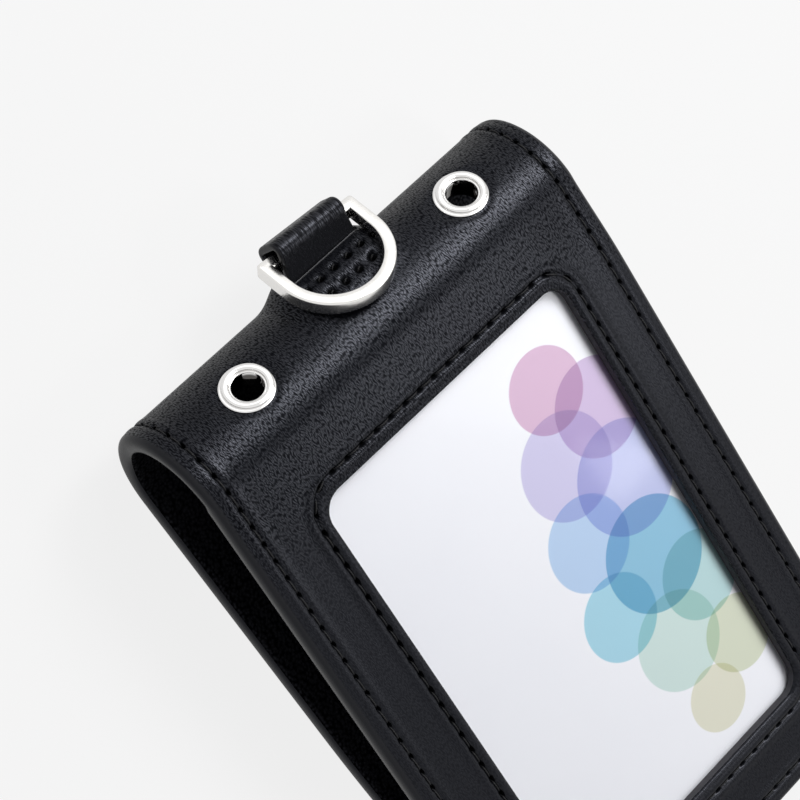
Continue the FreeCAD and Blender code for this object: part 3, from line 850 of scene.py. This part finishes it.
def make_filler(material):
    """Board round the card on three sides, hidden between the leathers."""
    outer, foot, top = HALF_WIDTH - FILLER_INSET, -FRONT_LENGTH + FILLER_INSET, MOUTH - 0.3
    left, right = WINDOW_X - POCKET_HALF, WINDOW_X + POCKET_HALF
    centre_u, centre_v = outer - CORNER, foot + CORNER
    plan = np.array([
        (-outer, top), (-outer, centre_v), *arc_path((-centre_u, centre_v), CORNER, 180.0, 270.0, 8),
        *arc_path((centre_u, centre_v), CORNER, 270.0, 360.0, 8), (outer, top),
        (right, top), (right, POCKET_FOOT), (left, POCKET_FOOT), (left, top)])
    count = len(plan)
    levels = [strip(plan[:, 0], plan[:, 1], h) for h in (-COVER - 0.05, FILLER_FOOT)]
    walls = [(k, k + count, (k + 1) % count + count, (k + 1) % count) for k in range(count)]
    ends = [tuple(range(count)), tuple(range(2 * count - 1, count - 1, -1))]
    mesh = bpy.data.meshes.new("pocket_filler_board")
    mesh.from_pydata(to_row(np.concatenate(levels)).tolist(), [], ends + walls)
    mesh.materials.append(material)
    piece = add_object("pocket_filler_board", mesh)
    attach(piece, "front")
    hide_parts("pocket_filler")


# Materials

class Nodes:
    """A short way to build the nodes of a material or the world."""

    def __init__(self, name, world=False):
        self.owner = bpy.data.worlds.new(name) if world else bpy.data.materials.new(name)
        self.owner.use_nodes = True
        self.tree = self.owner.node_tree
        self.tree.nodes.clear()
        self.output = self.add("OutputWorld" if world else "OutputMaterial")

    def fill(self, socket, value):
        """Joins an input to another node's output, or sets its own value."""
        if hasattr(value, "is_linked"):
            self.tree.links.new(value, socket)
        else:
            socket.default_value = value

    def add(self, kind, *slots, **settings):
        """A node with inputs filled in order from slots, and properties or inputs by name from settings."""
        node = self.tree.nodes.new("ShaderNode" + kind)
        for key, value in settings.items():
            if key in node.bl_rna.properties:
                setattr(node, key, value)
            else:
                self.fill(node.inputs[key.replace("_", " ")], value)
        for slot, value in enumerate(slots):
            self.fill(node.inputs[slot], value)
        return node

    def math(self, operation, *values):
        return self.add("Math", *values, operation=operation).outputs[0]

    def mark(self, name, output="Fac"):
        return self.add("Attribute", attribute_name=name).outputs[output]

    def object_place(self):
        return self.add("TexCoord").outputs["Object"]

    def noise(self, place, scale, detail, output="Fac", **settings):
        return self.add("TexNoise", Vector=place, Scale=scale, Detail=detail, **settings).outputs[output]

    def spread(self, value, low, high, to_low, to_high):
        """A value taken from one range to another, and held inside it."""
        ranges = {"From_Min": low, "From_Max": high, "To_Min": to_low, "To_Max": to_high}
        return self.add("MapRange", Value=value, **ranges).outputs[0]

    def bump(self, height, strength, depth, **settings):
        """Relief of a height, with its depth in millimetres."""
        return self.add("Bump", Height=height, Strength=strength, Distance=depth * MM, **settings).outputs[0]

    def blend(self, factor, a, b, kind="MIX"):
        """Mix of two colours by a factor; each is a colour or a socket."""
        node = self.add("Mix", data_type="RGBA", blend_type=kind)
        for slot, value in ((0, factor), (6, a), (7, b)):
            self.fill(node.inputs[slot], value)
        return node.outputs[2]

    def shown(self):
        """1 for rays that show the white surroundings: to the camera, and in gloss and glass."""
        rays = self.add("LightPath").outputs
        seen = self.math("MAXIMUM", rays["Is Camera Ray"], rays["Is Glossy Ray"])
        return self.math("MAXIMUM", seen, rays["Is Transmission Ray"])

    def finish(self, shader):
        self.tree.links.new(shader.outputs[0], self.output.inputs["Surface"])
        return self.owner


def shade(colour, factor):
    """A colour made lighter or darker, opaque."""
    return tuple(factor * c for c in colour[:3]) + (1.0,)


def grain(nodes, across, along, turn):
    """Fine streaky pebbles on the strip's own coordinates, as a height."""
    place = nodes.mark("strip", "Vector")
    wander = nodes.noise(place, 0.55, 2.0, "Color")
    shift = nodes.add("VectorMath", wander, operation="SCALE", Scale=0.55)
    moved = nodes.add("VectorMath", place, shift.outputs[0], operation="ADD")
    lay = nodes.add("Mapping", Vector=moved.outputs[0], vector_type="TEXTURE",
                    Rotation=(0.0, 0.0, turn), Scale=(across, along, 1.0)).outputs[0]
    pebble = nodes.add("TexVoronoi", feature="SMOOTH_F1", voronoi_dimensions="2D", Vector=lay, Scale=1.0,
                       Smoothness=0.35, Randomness=0.9)
    fine = nodes.noise(lay, 1.4, 3.0, noise_dimensions="2D")
    domes = nodes.math("SUBTRACT", 1.0, pebble.outputs["Distance"])
    return nodes.math("MULTIPLY_ADD", fine, 0.55, domes)


def leather_material(name, colour, grain_depth, across, along, turn, rough, shine):
    """Grained leather, glossy on its crests, with painted edges, raw cuts, needle holes painted dark as
    shade, and painted highlight lines on the edges' rims.
    """
    nodes = Nodes(name)
    height = grain(nodes, across, along, turn)
    paint, cut, pit = (nodes.mark(mark) for mark in ("paint", "cut", "pit"))
    bare = nodes.math("SUBTRACT", 1.0, nodes.math("MINIMUM", nodes.math("ADD", paint, cut), 1.0))
    place = nodes.mark("strip", "Vector")
    fibre = nodes.noise(place, 9.0, 4.0, Roughness=0.7)
    patch = nodes.noise(place, 0.09, 3.0)
    worn = nodes.blend(patch, shade(colour, 0.75), shade(colour, 1.3))
    painted = nodes.blend(paint, worn, (0.022, 0.022, 0.023, 1.0))
    raw = nodes.blend(fibre, (0.006, 0.006, 0.008, 1.0), (0.075, 0.073, 0.08, 1.0))
    # lip lines are painted light grey: a painted highlight on the edge rims and the slit's lip
    edges_with_painted_highlight = nodes.blend(nodes.mark("lip"), nodes.blend(cut, painted, raw), (0.2, 0.2, 0.21, 1.0))
    # needle holes painted near black: painted shade in the holes
    colour_with_painted_light = nodes.blend(pit, edges_with_painted_highlight, (0.001, 0.001, 0.001, 1.0))
    # the grain is pressed flat on the panel and opens towards the fold, where it bends
    along_strip = nodes.add("SeparateXYZ", Vector=place).outputs["Y"]
    pressed = nodes.spread(along_strip, -16.0, -6.0, 0.35, 1.0)
    bent = nodes.spread(along_strip, 2.0, 11.0, 0.3, 1.0)
    # crests of the grain shine more than its creases, and all of it less at a grazing angle
    crest = nodes.spread(height, 0.65, 1.2, -0.9, 0.95)
    crest = nodes.math("MULTIPLY", crest, nodes.math("MULTIPLY", pressed, bare))
    sheen = nodes.math("MULTIPLY_ADD", crest, shine, shine)
    facing = nodes.add("LayerWeight", Blend=0.5).outputs["Facing"]
    sheen = nodes.math("MULTIPLY", sheen, nodes.spread(facing, 0.42, 0.8, 1.0, 0.1))
    # the holes also lose their sheen, as painted shade
    dull = nodes.math("MULTIPLY", nodes.math("SUBTRACT", 1.0, pit), sheen)
    gloss = nodes.math("MULTIPLY_ADD", fibre, 0.12, rough - 0.06)
    gloss = nodes.math("MULTIPLY_ADD", paint, -0.06, gloss)
    gloss = nodes.math("MULTIPLY_ADD", cut, 0.35, gloss)
    bump = nodes.bump(height, nodes.math("MULTIPLY", bent, bare), grain_depth)
    soft = nodes.bump(nodes.noise(place, 0.8, 2.0), 0.25, 0.05, Normal=bump)
    shader = nodes.add("BsdfPrincipled", Base_Color=colour_with_painted_light, Roughness=gloss, Specular_IOR_Level=dull,
                       Normal=soft, IOR=1.2, Specular_Tint=(0.83, 0.86, 1.0, 1.0))
    return nodes.finish(shader)


def thread_material():
    nodes = Nodes("black_thread")
    twist = nodes.add("TexWave", wave_type="BANDS", bands_direction="DIAGONAL", Vector=nodes.object_place(),
                      Scale=1800.0, Distortion=1.5).outputs["Fac"]
    tint = nodes.blend(twist, (0.002, 0.002, 0.0025, 1.0), (0.008, 0.008, 0.009, 1.0))
    shader = nodes.add("BsdfPrincipled", Base_Color=tint, Normal=nodes.bump(twist, 0.6, 0.06), Roughness=0.6,
                       Specular_IOR_Level=0.25)
    return nodes.finish(shader)


def nickel_material(name, colour, rough, scratch):
    """Bright or satin metal, with painted shade where it is marked deep inside an eyelet."""
    nodes = Nodes(name)
    place = nodes.object_place()
    haze = nodes.noise(place, 900.0, 3.0)
    gloss = nodes.math("MULTIPLY_ADD", haze, 0.8 * rough, 0.6 * rough)
    tint = nodes.blend(haze, shade(colour, 0.96), shade(colour, 1.0))
    # deep inside the eyelet the metal is painted dark: painted shade
    tint = nodes.blend(nodes.mark("deep"), tint, (0.09, 0.085, 0.08, 1.0))
    bump = nodes.bump(nodes.noise(place, 5200.0, 2.0), scratch, 0.01)
    shader = nodes.add("BsdfPrincipled", Base_Color=tint, Roughness=gloss, Normal=bump, Metallic=1.0)
    return nodes.finish(shader)


def film_material():
    nodes = Nodes("clear_film")
    bump = nodes.bump(nodes.noise(nodes.object_place(), 45.0, 1.0), 0.12, 0.4)
    edge = nodes.add("Fresnel", Normal=bump, IOR=1.35)
    clear = nodes.add("BsdfTransparent", Color=(0.995, 0.995, 1.0, 1.0))
    shine = nodes.add("BsdfGlossy", Normal=bump, Color=(1.0, 1.0, 1.0, 1.0), Roughness=0.06)
    behind = nodes.add("NewGeometry").outputs["Backfacing"]
    outer = nodes.math("MULTIPLY", edge.outputs[0], nodes.math("SUBTRACT", 1.0, behind))
    return nodes.finish(nodes.add("MixShader", outer, clear.outputs[0], shine.outputs[0]))


# Generic print on the card: discs as (x, y, radius, colour), in millimetres on the front panel
PRINT_DEPTH = -2.0
PRINT_EDGE = 0.08
DISCS = (
    (15.0, -21.0, 6.4, (0.66, 0.36, 0.55)),
    (20.5, -28.5, 7.4, (0.58, 0.40, 0.66)),
    (11.5, -32.0, 8.0, (0.60, 0.55, 0.80)),
    (18.5, -40.0, 8.6, (0.46, 0.50, 0.80)),
    (8.0, -43.5, 7.2, (0.42, 0.62, 0.86)),
    (16.0, -52.5, 8.8, (0.12, 0.47, 0.66)),
    (6.0, -56.0, 6.6, (0.30, 0.66, 0.78)),
    (20.5, -60.5, 6.8, (0.42, 0.68, 0.66)),
    (12.0, -66.0, 7.6, (0.60, 0.78, 0.70)),
    (21.0, -72.5, 6.0, (0.68, 0.72, 0.50)),
    (12.5, -78.0, 5.2, (0.78, 0.76, 0.56)),
)


def card_material():
    nodes = Nodes("printed_card")
    place = nodes.object_place()
    colour = nodes.blend(nodes.noise(place, 60.0, 2.0), (0.89, 0.90, 0.94, 1.0), (0.92, 0.93, 0.96, 1.0))
    for x, y, radius, tint in DISCS:
        centre = tuple(to_row(strip(x, y, PRINT_DEPTH)))
        away = nodes.add("VectorMath", place, centre, operation="DISTANCE").outputs["Value"]
        inside = nodes.spread(away, (radius - PRINT_EDGE) * MM, (radius + PRINT_EDGE) * MM, 0.85, 0.0)
        colour = nodes.blend(inside, colour, tint + (1.0,), "MULTIPLY")
    bump = nodes.bump(nodes.noise(place, 3000.0, 1.0), 0.1, 0.01)
    return nodes.finish(nodes.add("BsdfPrincipled", Base_Color=colour, Normal=bump, Roughness=0.35))


def board_material():
    nodes = Nodes("filler_board")
    pulp = nodes.noise(nodes.object_place(), 800.0, 4.0)
    tint = nodes.blend(pulp, (0.03, 0.03, 0.032, 1.0), (0.08, 0.078, 0.08, 1.0))
    return nodes.finish(nodes.add("BsdfPrincipled", Base_Color=tint, Roughness=0.9))


def set_material(node, material):
    slots = frame["nodes"][node].data.materials
    slots.clear()
    slots.append(material)


# Stage

def make_floor():
    """A pale floor that takes the wallet's shadow and shows white, as shown() says."""
    mesh = bpy.data.meshes.new("floor")
    corners = ((-1, -1), (1, -1), (1, 1), (-1, 1))
    mesh.from_pydata([(x * FLOOR_HALF, y * FLOOR_HALF, -FLOOR_DROP) for x, y in corners], [], [(0, 1, 2, 3)])
    nodes = Nodes("pale_floor")
    tone = nodes.noise(nodes.object_place(), 3.0, 2.0)
    pale = nodes.blend(tone, (0.84, 0.84, 0.85, 1.0), (0.88, 0.88, 0.89, 1.0))
    dim = nodes.blend(tone, (0.11, 0.11, 0.112, 1.0), (0.13, 0.13, 0.132, 1.0))
    lit = nodes.add("BsdfDiffuse", Color=pale)
    white = nodes.add("Emission", Color=(1.0, 1.0, 1.0, 1.0), Strength=FLOOR_WHITE)
    seen = nodes.add("MixShader", FLOOR_WHITE_SHARE, lit.outputs[0], white.outputs[0])
    bounce = nodes.add("BsdfDiffuse", Color=dim)
    shader = nodes.add("MixShader", nodes.shown(), bounce.outputs[0], seen.outputs[0])
    mesh.materials.append(nodes.finish(shader))
    add_object("floor", mesh)


def make_world():
    """White surroundings, as shown() says, and low even light on the object."""
    nodes = Nodes("studio", world=True)
    light = nodes.add("Background", Color=(0.98, 0.985, 1.0, 1.0), Strength=WORLD_LIGHT)
    white = nodes.add("Background", Color=(1.0, 1.0, 1.0, 1.0), Strength=WORLD_WHITE)
    mix = nodes.add("MixShader", nodes.shown(), light.outputs[0], white.outputs[0])
    bpy.context.scene.world = nodes.finish(mix)


def soft_box(name, place, target, width, height, watts, turn=0.0):
    """An area lamp, in metres, aimed at a target and turned about its axis by degrees."""
    light = bpy.data.lights.new(name, "AREA")
    light.shape = "RECTANGLE"
    light.size, light.size_y, light.energy = width, height, watts
    box = add_object(name, light)
    box.location = place
    aim = (Vector(target) - Vector(place)).to_track_quat("-Z", "Y").to_matrix()
    box.rotation_euler = (aim @ Matrix.Rotation(math.radians(turn), 3, "Z")).to_euler()


def make_lights():
    soft_box("key", (0.23, 0.23, 0.38), (0.0, 0.02, 0.01), 0.34, 0.30, 1.35)
    soft_box("hot", (0.29, 0.195, 0.40), (0.0, 0.02, 0.01), 0.16, 0.16, 0.95)
    soft_box("low", (0.21, 0.52, 0.21), (0.0, 0.05, 0.02), 0.36, 0.16, 0.12)
    soft_box("side", (0.2234, -0.102, 0.30), (0.2234, -0.102, 0.0), 0.225, 0.20, 0.12, -45.0)
    soft_box("over", (0.14, -0.11, 0.30), (0.14, -0.11, 0.0), 0.06, 0.06, 0.17)
    soft_box("right", (0.215, -0.175, 0.30), (0.215, -0.175, 0.0), 0.09, 0.08, 0.1)


def make_camera():
    data = bpy.data.cameras.new("camera")
    data.sensor_width = 36.0
    data.lens = CAMERA_LENS
    data.clip_start = 0.01
    camera = add_object("camera", data)
    right, up = Vector(CAMERA_RIGHT), Vector(CAMERA_UP)
    turn = Matrix((right, up, right.cross(up))).transposed().to_4x4()
    camera.matrix_world = Matrix.Translation(CAMERA_PLACE) @ turn
    bpy.context.scene.camera = camera


def main():
    bpy.context.scene.view_settings.view_transform = "Standard"
    cover = leather_material("cover_leather", (0.0042, 0.0045, 0.006), grain_depth=0.034, across=0.16,
                             along=0.62, turn=math.radians(5.0), rough=0.24, shine=0.9)
    inside = leather_material("lining_leather", (0.003, 0.003, 0.004), grain_depth=0.03, across=0.5,
                              along=0.6, turn=0.3, rough=0.6, shine=0.4)
    strap = leather_material("strap_leather", (0.0095, 0.0098, 0.0115), grain_depth=0.018, across=0.21,
                             along=0.9, turn=0.1, rough=0.25, shine=0.8)
    make_covers(cover)
    make_linings(inside)
    make_threads(thread_material())
    bright = nickel_material("bright_nickel", (0.80, 0.79, 0.78), rough=0.07, scratch=0.15)
    make_eyelets(bright)
    make_ring(nickel_material("satin_nickel", (0.83, 0.815, 0.79), rough=0.2, scratch=0.5))
    make_strap(strap)
    make_filler(board_material())
    set_material("window_film", film_material())
    set_material("id_card", card_material())
    for panel in ("front", "back"):
        for side in ("left", "right"):
            set_material("washer_%s_%s" % (panel, side), bright)
    make_floor()
    make_world()
    make_lights()
    make_camera()


main()
